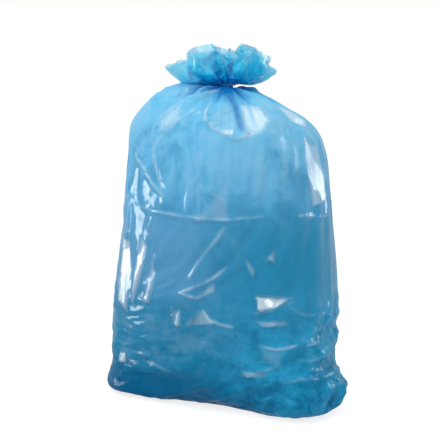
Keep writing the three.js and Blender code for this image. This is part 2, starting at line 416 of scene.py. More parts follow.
glossSetup = {
    "low": 0.30,
    "more": 0.25,  # higher up
    "moreFrom": (0.08, 0.30),
    "less": 0.42,  # on the smooth film of the upper right
    "lessFrom": (0.45, 0.50),
    "lessRight": (0.0, 0.05),
    "sheen": 1.2,
    "streaks": 0.65,
    "edge": (0.35, 0.9),  # the film's turn from the viewer at which its gloss fades
    "edgeShare": 0.95,
}


def bagMaterial():
    sheet = ShaderSheet("blueFilm")
    place = sheet.place()
    x, y, z = sheet.parts(place)
    tints, shares, zones, noises = veilColours, veilShares, veilZones, filmNoises
    # the colours by height carry painted shade towards the floor and painted light towards the top
    level = z / cadBounds[1].z + (sheet.noise(place, noises["sway"]) - 0.5) * shares["sway"]
    colour = sheet.node("ShaderNodeValToRGB", {"stops": filmColoursAndShading}, level)
    # where the film lies on the waste it looks deeper, and where it hangs free paler
    patches = sheet.noise(place, noises["patches"])
    mottle = sheet.noise(place, noises["mottle"])
    strands = sheet.noise(sheet.vector("MULTIPLY", place, strandStretch), noises["strands"])
    low = 1.0 - z.ramp(*zones["crumpled"])
    right = (x * 0.9 - y * 0.4).ramp(*zones["right"])
    colour = sheet.blend(patches.ramp(0.52, 0.34) * shares["deep"], colour, tints["deep"])
    free = patches.ramp(0.45, 0.66) * z.ramp(*zones["upper"])
    colour = sheet.blend(free * shares["pale"], colour, tints["pale"])
    middle = z.ramp(*zones["middle"]) * (1.0 - z.ramp(*zones["middleEnd"]))
    colour = sheet.blend(middle * x.ramp(*zones["clear"]) * shares["clear"], colour, tints["clear"])
    milky = middle * (zones["milkyFrom"] - x).ramp(*zones["milky"])
    colour = sheet.blend(milky * shares["milky"], colour, tints["milky"])
    hazy = z.ramp(*zones["foot"]) * low * (1.0 - right)
    colour = sheet.blend(mottle.ramp(0.42, 0.62) * hazy * shares["frosted"], colour, tints["frosted"])
    colour = sheet.blend(mottle.ramp(0.36, 0.66) * low * right * shares["bright"], colour, tints["bright"])
    hanging = strands.ramp(0.55, 0.75) * z.ramp(*zones["strands"])
    colour = sheet.blend(hanging * shares["strands"], colour, tints["pale"])
    # rays of gathered film round the neck, darkened partly for the film's layers and partly as painted shade at
    # the neck
    n = neckShade
    ways = sheet.vector("MULTIPLY", sheet.vector("SUBTRACT", place, tuple(neck)), (1.0, 1.0, 0.0))
    reach = sheet.vector("LENGTH", ways, out="Value")
    ways = sheet.vector("NORMALIZE", ways)
    rays = sheet.noise(ways, noises["rays"])
    fineRays = sheet.noise(ways, noises["fineRays"])
    gathered = 1.0 - (reach - (rays - 0.5) * n["raysReach"]).ramp(*n["gathered"])
    # the deep fold under the tie, a little to the right of the front, darkened as painted shade
    foldAngle = math.radians(bagSetup["deepFold"])
    beside = ((x - neck.x) * math.cos(foldAngle) + (y - neck.y) * math.sin(foldAngle)).math("ABSOLUTE")
    deepFold = (1.0 - beside.ramp(*n["foldWidth"])) * (1.0 - reach.ramp(*n["foldReach"]))
    deepFold = deepFold * (y * -1.0).ramp(*n["foldSide"])
    core = (gathered * z.ramp(*zones["neck"])).math("MAXIMUM", deepFold)
    colour = sheet.blend(core, colour, tints["core"])
    # painted shade along the deep folds, in the neck's deep colour
    colour = sheet.blend(sheet.attribute("shade"), colour, tints["core"])
    # creases whiten, partly on their own and partly as a painted highlight, and slack facets take a painted
    # highlight in streaks: round the neck in rays, and lower down in strands
    crest, sheen = sheet.attribute("crest"), sheet.attribute("sheen")
    broken = strands.ramp(0.32, 0.56) * (1.0 - shares["crest"]) + shares["crest"]
    colour = sheet.blend(crest * broken, colour, tints["crest"])
    over = z.ramp(*zones["bib"])
    across = strands * (1.0 - over) + fineRays.ramp(0.30, 0.64) * over
    colour = sheet.blend(sheen * (across * shares["sheen"]).clamped(), colour, tints["sheen"])
    g = glossSetup
    streaks = strands.ramp(0.40, 0.56) * (1.0 - over) + fineRays.ramp(0.42, 0.56) * over
    gloss = z.ramp(*g["moreFrom"]) * g["more"] + g["low"]
    gloss = gloss - z.ramp(*g["lessFrom"]) * x.ramp(*g["lessRight"]) * g["less"]
    gloss = (gloss + sheen * g["sheen"]).clamped() * (streaks * g["streaks"] + (1.0 - g["streaks"]))
    facing = sheet.node("ShaderNodeLayerWeight", {}, out="Facing", Blend=0.5)
    gloss = gloss * (1.0 - facing.ramp(*g["edge"]) * g["edgeShare"])
    return sheet.finish(
        Base_Color=colour,
        Roughness=0.3,
        Specular_IOR_Level=0.02,
        Coat_Weight=gloss,
        Coat_Roughness=0.06,
        Coat_IOR=1.25,
        Normal=crumpled(sheet, sheen),
    )


# Creases too fine for the mesh: noises with sharp crests, their depths, and the zones where they are strongest.
creaseSetup = {
    "strength": 0.9,
    "streaks": {"Scale": 26.0, "Detail": 3.0, "Roughness": 0.6},
    "streakStretch": (1.0, 1.0, 0.16),  # they run up and down
    "streakDepth": 0.0035,
    "sheets": {"Scale": 13.0, "Detail": 4.0, "Roughness": 0.55},  # lie every way
    "sheetDepth": 0.0050,
    "flakeScale": 34.0,
    "flakeDepth": 0.0012,
    "low": (0.10, 0.34),
    "right": (-0.02, 0.16),
    "upper": (0.42, 0.60),
}


def sharpCrests(sheet, place, settings):
    return 1.0 - (sheet.noise(place, settings) * 2.0 - 1.0).math("ABSOLUTE") * 2.0


def crumpled(sheet, sheen):
    c = creaseSetup
    place = sheet.place()
    x, _, z = sheet.parts(place)
    streaks = sharpCrests(sheet, sheet.vector("MULTIPLY", place, c["streakStretch"]), c["streaks"])
    sheets = sharpCrests(sheet, place, c["sheets"])
    settings = {"feature": "DISTANCE_TO_EDGE"}
    flakes = sheet.node("ShaderNodeTexVoronoi", settings, Vector=place, Scale=c["flakeScale"])
    low = 1.0 - z.ramp(*c["low"])
    right = x.ramp(*c["right"])
    streakShare = z.ramp(*c["upper"]) * 0.45 + sheen * 0.9 + 0.12
    sheetShare = (low * (right * 0.75 + 0.25) + 0.12) * (1.0 - sheen)
    rise = (
        streaks * streakShare * c["streakDepth"]
        + sheets * sheetShare * c["sheetDepth"]
        + flakes.math("MINIMUM", 0.3) * sheetShare * c["flakeDepth"]
    )
    return sheet.node("ShaderNodeBump", {}, Height=rise, Strength=c["strength"], Distance=1.0)


simSetup = {
    "tallEdge": 0.016,  # edges longer than this are halved first
    "upright": 0.4,  # where they rise at least this share of their length
    "inset": 0.006,  # how far inside the film the contents lie at the least
    "lumps": 0.010,  # and how much further between their lumps
    "lumpSize": 0.11,
    "surplus": 0.035,  # spare film, as a share
    "pressure": 0.4,
    "mass": 0.02,
    "air": 4,  # drag
    "stretch": 30,
    "shear": 12,
    "bending": 0.02,
    "damping": 10,
    "bendDamping": 0.5,
    "gap": 0.002,
    "friction": 8,
    "heldTop": 0.006,  # film held still within this of the neck's end
    "heldFoot": 0.004,  # and up to here above the floor
    "frames": 24,
    "quality": 5,
    "cap": 0.012,  # the furthest that any place moves
}


def applyModifiers(piece):
    soloSelect(piece)
    for modifier in list(piece.modifiers):
        bpy.ops.object.modifier_apply(modifier=modifier.name)


def halveTallEdges(piece):
    soloSelect(piece)
    editMode("EDIT")
    bpy.ops.mesh.select_mode(type="EDGE")
    bpy.ops.mesh.select_all(action="DESELECT")
    shape = bmesh.from_edit_mesh(piece.data)
    for edge in shape.edges:
        low, high = sorted(v.co.z for v in edge.verts)
        length = edge.calc_length()
        if length > simSetup["tallEdge"] and high - low > simSetup["upright"] * length:
            edge.select = True
    bmesh.update_edit_mesh(piece.data)
    bpy.ops.mesh.subdivide(number_cuts=1)
    editMode("OBJECT")


def cutAt(piece, height):
    soloSelect(piece)
    editMode("EDIT")
    bpy.ops.mesh.select_all(action="SELECT")
    bpy.ops.mesh.bisect(plane_co=(0, 0, height), plane_no=(0, 0, 1), use_fill=True, clear_outer=True)
    editMode("OBJECT")


def subdivide(piece, levels):
    soloSelect(piece)
    bpy.ops.object.modifier_add(type="SUBSURF")
    piece.modifiers[-1].levels = levels
    piece.modifiers[-1].render_levels = levels
    applyModifiers(piece)


def points(piece):
    flat = np.empty(len(piece.data.vertices) * 3)
    piece.data.vertices.foreach_get("co", flat)
    return flat.reshape(-1, 3)


def setPoints(piece, places):
    piece.data.vertices.foreach_set("co", places.ravel())
    piece.data.update()


def normalsOf(piece):
    flat = np.empty(len(piece.data.vertices) * 3)
    piece.data.vertex_normals.foreach_get("vector", flat)
    return flat.reshape(-1, 3)


def duplicatePiece(piece, name):
    soloSelect(piece)
    bpy.ops.object.duplicate()
    copy = bpy.context.object
    copy.name = name
    return copy


def drapeFilm(film):
    s = simSetup
    start = points(film)
    core = duplicatePiece(film, "contents")
    lumps = np.array([max(0.0, noise.noise(Vector(p) / s["lumpSize"]) + 0.2) for p in start])
    inset = s["inset"] + s["lumps"] * lumps
    setPoints(core, start - normalsOf(core) * inset[:, None])
    bpy.ops.object.modifier_add(type="COLLISION")
    core.collision.thickness_outer = s["gap"]
    core.collision.cloth_friction = s["friction"]
    soloSelect(film)
    held = film.vertex_groups.new(name="held")
    top = start[:, 2].max()
    for i, p in enumerate(start):
        if p[2] > top - s["heldTop"] or p[2] < s["heldFoot"]:
            held.add([i], 1.0, "REPLACE")
    bpy.ops.object.modifier_add(type="CLOTH")
    cloth = film.modifiers[-1]
    c = cloth.settings
    c.quality = s["quality"]
    c.mass = s["mass"]
    c.air_damping = s["air"]
    c.tension_stiffness = c.compression_stiffness = s["stretch"]
    c.shear_stiffness = s["shear"]
    c.bending_stiffness = s["bending"]
    c.tension_damping = c.compression_damping = c.shear_damping = s["damping"]
    c.bending_damping = s["bendDamping"]
    c.shrink_min = -s["surplus"]
    c.use_pressure = True
    c.uniform_pressure_force = s["pressure"]
    c.vertex_group_mass = "held"
    cloth.collision_settings.distance_min = s["gap"]
    cloth.collision_settings.collision_quality = 2
    cloth.collision_settings.use_self_collision = False
    cloth.point_cache.frame_end = s["frames"]
    for step in range(1, s["frames"] + 1):
        bpy.context.scene.frame_set(step)
    applyModifiers(film)
    bpy.data.objects.remove(core)
    moved = points(film) - start
    size = np.linalg.norm(moved, axis=1)
    moved *= np.minimum(1, s["cap"] / np.maximum(size, 1e-9))[:, None]
    setPoints(film, start + moved)


# Folds that the photograph shows. Each follows points in degrees round the neck's axis and millimetres up.
# out is its height in mm, and width how far it slopes off on the left and on the right of its path. pale is how
# pale its crease line is, partly as a painted highlight, and deep how dark its line of painted shade is.
folds = [
    # the front panel's edge over the left shoulder, and its loops
    {"path": [(13.2, 656), (356.6, 645), (337, 632), (334.8, 608), (333.5, 578), (333.8, 556)],
     "pale": 0.6, "out": 4.2, "width": (24, 7)},
    {"path": [(4.1, 630), (357.7, 617), (350, 598), (344.3, 575)],
     "pale": 0.5, "out": 2.4, "width": (12, 6)},
    {"path": [(353.5, 612), (345.9, 590), (341, 560), (336.5, 540)],
     "pale": 0.5, "out": 2.4, "width": (8, 8)},
    # the bib under the neck
    {"path": [(8.8, 636), (8.3, 616), (10.3, 600), (15.4, 588),
              (21.9, 579.5), (30.3, 567), (36.6, 572), (49.1, 591)],
     "pale": 0.9, "out": 4.8, "width": (22, 5)},
    # a hollow down the bib, darkened with painted shade
    {"path": [(28, 652), (32.5, 630), (33.8, 605), (34.3, 576)], "out": -3, "width": (9, 9), "deep": 0.9},
    {"path": [(31.7, 640), (34, 622), (34.6, 600), (35.1, 578)], "out": 3.6, "width": (7, 12)},
    {"path": [(44.9, 640), (45.5, 625), (46.4, 605), (48.3, 585)], "out": 3, "width": (10, 10)},
    {"path": [(54.9, 630), (54.7, 612), (53.8, 594)], "out": 3, "width": (8, 14)},
    # over the right shoulder
    {"path": [(62.4, 640), (69.5, 622), (75.2, 606), (79.3, 585), (80.4, 560),
              (82.1, 530), (83.9, 500), (86.1, 458), (84.3, 428)],
     "pale": 0.5, "out": 4.8, "width": (14, 16)},
    {"path": [(75.8, 640), (87.9, 610), (91.7, 580), (94.5, 540)], "out": 4.2, "width": (12, 12)},
    {"path": [(63.3, 610), (63.3, 574), (64, 526), (61.2, 490)], "out": 2.4, "width": (12, 16)},
    {"path": [(75.2, 560), (76.6, 520), (77.4, 480)], "out": -2.4, "width": (7, 7)},
    # long slack folds before the left shoulder
    {"path": [(312.9, 548), (324.2, 520), (333.7, 500), (340.5, 470), (347.9, 448)],
     "pale": 0.6, "out": 4.2, "width": (10, 16)},
    {"path": [(334.5, 560), (336.5, 535), (339.8, 510), (343.7, 479), (345.7, 455)],
     "pale": 0.6, "out": -3.6, "width": (9, 9)},
    {"path": [(324.5, 560), (320.9, 530), (318, 500)], "out": 3, "width": (9, 9)},
    # the left-hand edge, where three long folds stand over each other
    {"path": [(313.9, 490), (316.1, 440), (314.8, 380), (310.7, 320), (308.7, 250), (309.2, 190)],
     "out": 4.8, "width": (12, 18)},
    {"path": [(332.7, 360), (327.3, 310), (322, 260), (318.9, 215)], "out": 3.6, "width": (10, 16)},
    {"path": [(338.3, 330), (334.1, 285), (330.5, 235), (326, 200)], "out": 3, "width": (8, 12)},
    # where the empty bag was folded flat
    {"path": [(319.9, 424), (343.3, 419), (356.9, 413.5), (7.5, 413.5), (23.6, 411.5),
              (43.9, 417.5), (66.6, 414), (85.4, 404), (103, 394)],
     "pale": 0.5, "out": 2.7, "width": (7, 13)},
    {"path": [(8.7, 402), (9, 440), (8.7, 474)], "out": 2.4, "width": (5, 12)},
    {"path": [(8.7, 474), (17.2, 462), (23.4, 451)], "out": 2.4, "width": (12, 5)},
    # slanting tension lines down the front
    {"path": [(25, 402), (18.8, 372), (12.8, 341), (4.9, 305), (0.1, 282)],
     "pale": 0.5, "out": 3, "width": (14, 8)},
    {"path": [(26, 316), (17.6, 292), (10, 277), (356.1, 256), (5.9, 247), (16.8, 265)],
     "pale": 0.8, "out": 2.4, "width": (8, 5)},
    # the ledge that shines in the middle of the front
    {"path": [(38, 221), (48, 231), (61, 246)], "out": 4.8, "width": (26, 6)},
    {"path": [(38.5, 259), (50, 256.5), (61, 252)], "out": -3.6, "width": (5, 20)},
    {"path": [(36, 328), (38.1, 312), (39.8, 296)], "out": 3.6, "width": (6, 12)},
    {"path": [(45.5, 326), (48.5, 340), (51.7, 352)], "out": 3, "width": (6, 10)},
    {"path": [(358.9, 186), (5.1, 204), (10, 223)], "pale": 0.4, "out": 3.6, "width": (10, 6)},
    {"path": [(10, 223), (16, 204), (22.8, 197), (29.6, 193)], "pale": 0.6, "out": 3.6, "width": (12, 6)},
    {"path": [(349, 226), (350, 205), (350.6, 184)], "out": 3, "width": (5, 9)},
    {"path": [(353.1, 222), (353.7, 200), (354.3, 186)], "out": 2.4, "width": (5, 7)},
    # rolls low on the right
    {"path": [(41.9, 200), (49.8, 203), (57.2, 202)], "out": 3.6, "width": (8, 8)},
    {"path": [(41.9, 157), (50.5, 149), (58.1, 156), (67, 157), (74.4, 150)],
     "pale": 0.55, "out": 4.8, "width": (14, 10)},
    {"path": [(55.9, 236), (64.9, 216), (74.3, 206), (84.1, 214)], "out": 4.2, "width": (12, 12)},
    {"path": [(60.9, 190), (70.6, 178), (82.1, 180)], "out": 4.2, "width": (10, 14)},
    {"path": [(32.3, 91), (40, 97), (46.5, 105), (52.9, 118)], "out": 4.2, "width": (12, 9)},
    {"path": [(51.4, 84), (59, 88), (66.9, 87), (76.4, 84), (88.1, 88)],
     "pale": 0.4, "out": 6, "width": (9, 14)},
    {"path": [(59, 128), (66.7, 120), (76.1, 122), (86.2, 130)], "out": 4.8, "width": (12, 10)},
    {"path": [(74.5, 66), (84.2, 58), (94.5, 50)], "out": 3.6, "width": (8, 8)},
    # low on the left
    {"path": [(310.6, 120), (316, 96), (323.9, 80)], "out": 4.2, "width": (10, 14)},
    {"path": [(327.9, 100), (336.7, 88), (347.1, 84)], "out": 3, "width": (10, 10)},
]


# Film whitens along a sharp crease, partly on its own and partly as a painted highlight, and a deep fold is
# darkened with painted shade.
foldSetup = {
    "crest": 0.0026,  # width of the pale line, partly painted highlight
    "pale": 0.22,  # how pale it is where the fold doesn't say
    "deep": 0.0060,  # width of the dark line of painted shade
    "ends": 0.22,  # share of its length over which a fold fades out
    "sharp": 0.45,  # from an even slope, 0, to one that steepens to its crest
    "degree": 0.0035,  # metres of film to a degree
}

# Flat slack facets between folds, each turned to mirror a softbox, with pale the share of painted highlight in
# their colour: corners in degrees and millimetres.
facets = [
    {"corners": [(41.3, 255), (58.6, 250), (50.3, 239), (42.3, 225)],
     "faces": "frontBox", "pale": 1.0, "soft": 0.0015},
    {"corners": [(24.8, 481), (25.3, 413), (8.9, 410)],
     "faces": "frontBox", "pale": 0.20, "turn": 0.15, "soft": 0.012},
    {"corners": [(17.9, 279), (17.2, 260), (9.7, 260)], "faces": "leftBox", "pale": 0.36, "turn": 0.6},
    {"corners": [(36.5, 328), (40.1, 312), (39.6, 294)], "faces": "frontBox", "pale": 0.28},
    {"corners": [(50.9, 348), (50.3, 324), (46.7, 333)], "faces": "frontBox", "pale": 0.28},
    {"corners": [(1.3, 188), (10.8, 225), (17.6, 197)], "faces": "leftBox", "pale": 0.28, "turn": 0.5},
    {"corners": [(350.0, 214), (354.3, 216), (353.8, 184), (350.8, 183)], "faces": "leftBox", "pale": 0.35},
    {"corners": [(309, 100), (314, 103), (313, 78), (308, 76)], "faces": "leftBox", "pale": 0.5},
    {"corners": [(314.6, 92), (321.0, 87), (315.8, 80)], "faces": "leftBox", "pale": 0.4},
    {"corners": [(22.8, 633), (30.1, 624), (31.6, 587), (23.0, 577), (13.7, 598)],
     "faces": "topBox", "pale": 0.14, "turn": 0.2, "soft": 0.006},
    {"corners": [(36.6, 628), (52.6, 623), (52.0, 605), (46.0, 584), (37.1, 571)],
     "faces": "topBox", "pale": 0.42, "turn": 0.8, "soft": 0.006},
    {"corners": [(22.9, 585), (29.5, 585), (28.2, 575), (24.2, 577)], "faces": "topBox", "pale": 0.6},
    {"corners": [(343.5, 630), (349.8, 604), (339.9, 580), (336.7, 595), (337.4, 618)],
     "faces": "topBox", "pale": 0.38, "turn": 0.1, "soft": 0.014},
    {"corners": [(72, 622), (80, 618), (82, 600), (78.3, 583), (72, 600)], "faces": "topBox", "pale": 0.5},
    {"corners": [(75.1, 568), (81.2, 547), (87.2, 486), (85.6, 436), (76, 428), (73, 482), (72.8, 531)],
     "faces": "rightBox", "pale": 0.45},
    {"corners": [(308.1, 346), (315.0, 346), (317.8, 284), (315.0, 196), (309.2, 213)],
     "faces": "leftBox", "pale": 0.5, "soft": 0.008},
    {"corners": [(327.3, 357), (331.4, 343), (326.9, 294), (320.0, 222), (321.4, 287)],
     "faces": "leftBox", "pale": 0.6, "soft": 0.008},
    {"corners": [(335.2, 319), (336.3, 284), (332.0, 225), (327.1, 226), (331.1, 271)],
     "faces": "leftBox", "pale": 0.5, "soft": 0.008},
    {"corners": [(44.1, 149), (53.0, 146), (52.2, 117), (45.2, 125)],
     "faces": "frontBox", "pale": 0.10, "turn": 0.3, "soft": 0.01},
    {"corners": [(34.4, 101), (46.4, 102), (43.8, 93), (36.5, 91)], "faces": "frontBox", "pale": 0.25},
    {"corners": [(41, 207), (55, 207), (54, 198), (44, 198)], "faces": "frontBox", "pale": 0.25},
]
facetSetup = {
    "deepest": 0.006,  # the furthest that a facet moves the film
    "soft": 0.0040,  # width of its border
    "wide": 25,  # no facet reaches further than this, in degrees
    "tall": 130,  # or this, in mm
}


def polarOf(places):
    angles = np.degrees(np.arctan2(places[:, 0] - neck.x, neck.y - places[:, 1])) % 360
    reaches = np.hypot(places[:, 0] - neck.x, places[:, 1] - neck.y)
    return angles, reaches


def turnsFrom(angles, middle):
    return (angles - middle + 180) % 360 - 180


def insidePolygon(own, edge, soft):
    # 1 well inside the corners and 0 outside, over a soft border
    follows = list(zip(edge, np.roll(edge, -1, axis=0)))
    area = sum(a[0] * b[1] - b[0] * a[1] for a, b in follows)
    inside = np.full(len(own), 1.0)
    for a, b in follows:
        run = (b - a) / np.linalg.norm(b - a) * np.sign(area)
        past = run[0] * (own[:, 1] - a[1]) - run[1] * (own[:, 0] - a[0])
        inside = np.minimum(inside, np.clip(past / soft + 0.5, 0, 1))
    return inside


def addFacets(film):
    f = facetSetup
    places = points(film)
    normals = normalsOf(film)
    angles, reaches = polarOf(places)
    sheen = np.zeros(len(places))
    camera = np.array(bpy.context.scene.camera.location)
    for facet in facets:
        corners = np.array(facet["corners"], float)
        middle = corners[0, 0] + turnsFrom(corners[:, 0], corners[0, 0]).mean()
        turn = turnsFrom(angles, middle)
        tall = np.abs(places[:, 2] * 1000 - corners[:, 1].mean())
        near = np.nonzero((np.abs(turn) < f["wide"]) & (tall < f["tall"]))[0]
        arcs = np.radians(turn[near])
        own = np.stack([arcs * reaches[near], places[near, 2]], axis=1)
        edge = np.stack([np.radians(turnsFrom(corners[:, 0], middle)), corners[:, 1] / 1000], axis=1)
        # each corner's arc is measured at the film's own reach there
        for corner in edge:
            k = (np.abs(arcs - corner[0]) + np.abs(places[near, 2] - corner[1]) * 4).argmin()
            corner[0] *= reaches[near][k]
        inside = insidePolygon(own, edge, facet.get("soft", f["soft"]))
        core = inside > 0.5
        if not core.any():
            continue
        # the facet mirrors its softbox to the camera, as far as it is turned
        centre = places[near][core].mean(axis=0)
        towards = np.array(bpy.data.objects[facet["faces"]].location) - centre
        back = camera - centre
        facing = towards / np.linalg.norm(towards) + back / np.linalg.norm(back)
        plain = normals[near][core].mean(axis=0)
        turned = facet.get("turn", 1.0)
        facing = facing / np.linalg.norm(facing) * turned + plain * (1 - turned)
        move = ((centre - places[near]) @ facing) / np.maximum(normals[near] @ facing, 0.3)
        move = np.clip(move, -f["deepest"], f["deepest"]) * inside
        places[near] += normals[near] * move[:, None]
        # the sheen attribute paints a highlight into the film's colour over the facet
        sheen[near] = np.maximum(sheen[near], inside * facet["pale"])
    setPoints(film, places)
    film.data.attributes.new("sheen", "FLOAT", "POINT").data.foreach_set("value", sheen)


# Film crumpled over the waste low on the right, in metres.
crumpleSetup = {
    "size": 0.075,
    "deep": 0.0058,
    "top": 0.25,
    "topFade": 0.08,
    "foot": 0.03,
    "start": 0.02,  # how far to the right it begins
    "full": 0.14,
    "level": 1.7,  # how much wider than tall its creases are
    "bend": 0.6,
    "fine": 0.35,  # share of the finer creases
}


def addCrumples(film):
    c = crumpleSetup
    places = points(film)
    right = np.clip((places[:, 0] * 0.9 - places[:, 1] * 0.4 - c["start"]) / (c["full"] - c["start"]), 0, 1)
    low = np.clip((c["top"] - places[:, 2]) / c["topFade"], 0, 1) * np.clip(places[:, 2] / c["foot"], 0, 1)
    share = right * low
    out = np.zeros(len(places))
    for i in np.nonzero(share)[0]:
        p = Vector(places[i]) / c["size"]
        p.z *= c["level"]
        bent = p + noise.noise_vector(p * 0.7) * c["bend"]
        fine = 0.4 - abs(noise.noise(bent * 2.3)) * 2
        out[i] = 0.5 - abs(noise.noise(bent)) * 2.2 + c["fine"] * fine
    setPoints(film, places + normalsOf(film) * (out * share * c["deep"])[:, None])


def nearestOnPath(places, corners):
    # how far each place is from a line of corners, which way along it lies, and how far along, 0 to 1
    lengths = np.linalg.norm(np.diff(corners, axis=0), axis=1)
    starts = np.concatenate([[0], np.cumsum(lengths)])
    best = np.full(len(places), 1e9)
    along = np.zeros(len(places))
    heading, foot = np.zeros((len(places), 3)), np.zeros((len(places), 3))
    for k, (a, b) in enumerate(zip(corners[:-1], corners[1:])):
        run = b - a
        t = np.clip((places - a) @ run / (run @ run), 0, 1)
        nearest = a + t[:, None] * run
        far = np.linalg.norm(places - nearest, axis=1)
        closer = far < best
        best[closer] = far[closer]
        along[closer] = (starts[k] + t * lengths[k])[closer] / starts[-1]
        heading[closer] = run / lengths[k]
        foot[closer] = nearest[closer]
    return best, along, heading, foot


def addFolds(film, table):
    f = foldSetup
    places = points(film)
    normals = normalsOf(film)
    angles = polarOf(places)[0]
    out = np.zeros(len(places))
    crest = np.zeros(len(places))
    shade = np.zeros(len(places))
    for fold in table:
        corners = []
        for angle, height in fold["path"]:
            miss = (turnsFrom(angles, angle) * f["degree"]) ** 2 + (places[:, 2] - height / 1000) ** 2
            corners.append(places[miss.argmin()])
        corners = np.array(corners)
        reach = max(fold["width"]) / 1000
        low, high = corners.min(axis=0) - reach, corners.max(axis=0) + reach
        near = np.nonzero(((places > low) & (places < high)).all(axis=1))[0]
        far, along, heading, foot = nearestOnPath(places[near], corners)
        across = np.cross(normals[near], heading)
        side = ((places[near] - foot) * across).sum(axis=1)
        width = np.where(side > 0, fold["width"][0], fold["width"][1]) / 1000
        rise = np.clip(1 - far / width, 0, 1)
        rise = rise * (1 - f["sharp"] + f["sharp"] * rise)
        ends = np.clip(np.minimum(along, 1 - along) / f["ends"], 0, 1)
        ends *= 2 - ends
        out[near] += fold["out"] / 1000 * rise * ends
        # the pale crease line, partly painted highlight
        line = np.exp(-((far / f["crest"]) ** 2)) * ends * fold.get("pale", f["pale"])
        crest[near] = np.maximum(crest[near], line)
        # the dark line of painted shade in a deep fold
        dark = np.exp(-((far / f["deep"]) ** 2)) * ends * fold.get("deep", 0)
        shade[near] = np.maximum(shade[near], dark)
    setPoints(film, places + normals * out[:, None])
    film.data.attributes.new("crest", "FLOAT", "POINT").data.foreach_set("value", crest)
    film.data.attributes.new("shade", "FLOAT", "POINT").data.foreach_set("value", shade)


bag = mergedCopy("bag", "filmBag")
cutAt(bag, bagSetup["neckHeight"] + bagSetup["neckEnd"])
halveTallEdges(bag)
subdivide(bag, 1)
print("stage: film over the contents")
drapeFilm(bag)
print("stage: folds and facets")
subdivide(bag, 1)
addCrumples(bag)
addFolds(bag, folds)
addFacets(bag)
bag.data.materials.clear()
bag.data.materials.append(bagMaterial())
bpy.ops.object.shade_smooth()
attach(bag, "root")
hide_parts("bag")

print("stage: ruffle")

# Colours of the ruffle's film, from the neck to the rim, which takes the light of the white room.
ruffleColours = [
    (0.0, (0.001, 0.200, 0.580)),
    (0.25, (0.001, 0.350, 0.800)),
    (0.5, (0.002, 0.540, 0.920)),
    (0.8, (0.010, 0.680, 0.960)),
    (1.0, (0.200, 0.720, 0.940)),
]
ruffleSetup = {
    "columns": 720,
    "rows": 56,
    "pleats": 10,
    "neckRadius": 0.0155,
    "rim": [  # angle from the front, reach, rise above the neck
        (25, 0.044, 0.064),
        (55, 0.056, 0.068),
        (80, 0.074, 0.076),
        (101, 0.085, 0.055),
        (117, 0.088, 0.040),
        (133, 0.080, 0.056),
        (150, 0.074, 0.078),
        (180, 0.052, 0.084),
        (205, 0.038, 0.070),
        (230, 0.052, 0.083),
        (260, 0.074, 0.080),
        (277, 0.085, 0.062),
        (293, 0.100, 0.045),
        (309, 0.092, 0.050),
        (330, 0.074, 0.070),
        (355, 0.056, 0.068),
    ],
    # how far its wide ends hang down, by angle
    "sag": [(25, 0.012), (80, 0.003), (115, -0.002), (160, -0.004), (205, 0.004), (295, 0.019)],
    "sideFrom": 0.045,  # reach past which an end counts as wide
    "sideOver": 0.07,
    "meander": (0.9, 1.6),  # how far the film folds back on itself, at the neck and at the rim
    "meanderFull": 0.45,  # share of the way to the rim
    "depth": 0.95,
    "widths": (0.6, 1.4),  # of the pleats, as shares of an even one
    "heights": (0.7, 1.25),
    "filmRound": 1.4,  # the loose film laid out, once round and from neck to rim, in metres
    "filmTall": 0.13,
    "crumpleSize": 0.026,
    "crumple": 0.0075,
    "fineSize": 0.010,
    "fine": 0.0012,
    "crumpleUp": 0.6,  # crumples move up and down less than in and out
}


def noiseField(places, scale):
    # smooth vector noise, about -1 to 1, at places of size scale
    return np.array([noise.noise_vector(Vector(p) / scale) for p in places])


def meanderTable(steps, levels):
    # places across and out of a strip of film that folds back on itself more from level to level
    low, high = ruffleSetup["meander"]
    run = np.arange(steps + 1) / steps
    across, out = [], []
    for level in np.linspace(0, 1, levels):
        turn = (low + (high - low) * level) * np.sin(2 * math.pi * run)
        x = np.concatenate([[0], np.cumsum((np.cos(turn)[1:] + np.cos(turn)[:-1]) / 2)])
        y = np.concatenate([[0], np.cumsum((np.sin(turn)[1:] + np.sin(turn)[:-1]) / 2)])
        across.append(x / x[-1])
        out.append((y - y.mean()) / x[-1])
    return np.array(across), np.array(out)


def byAngle(angle, table, column):
    return np.interp(angle, [row[0] for row in table], [row[column] for row in table], period=360)


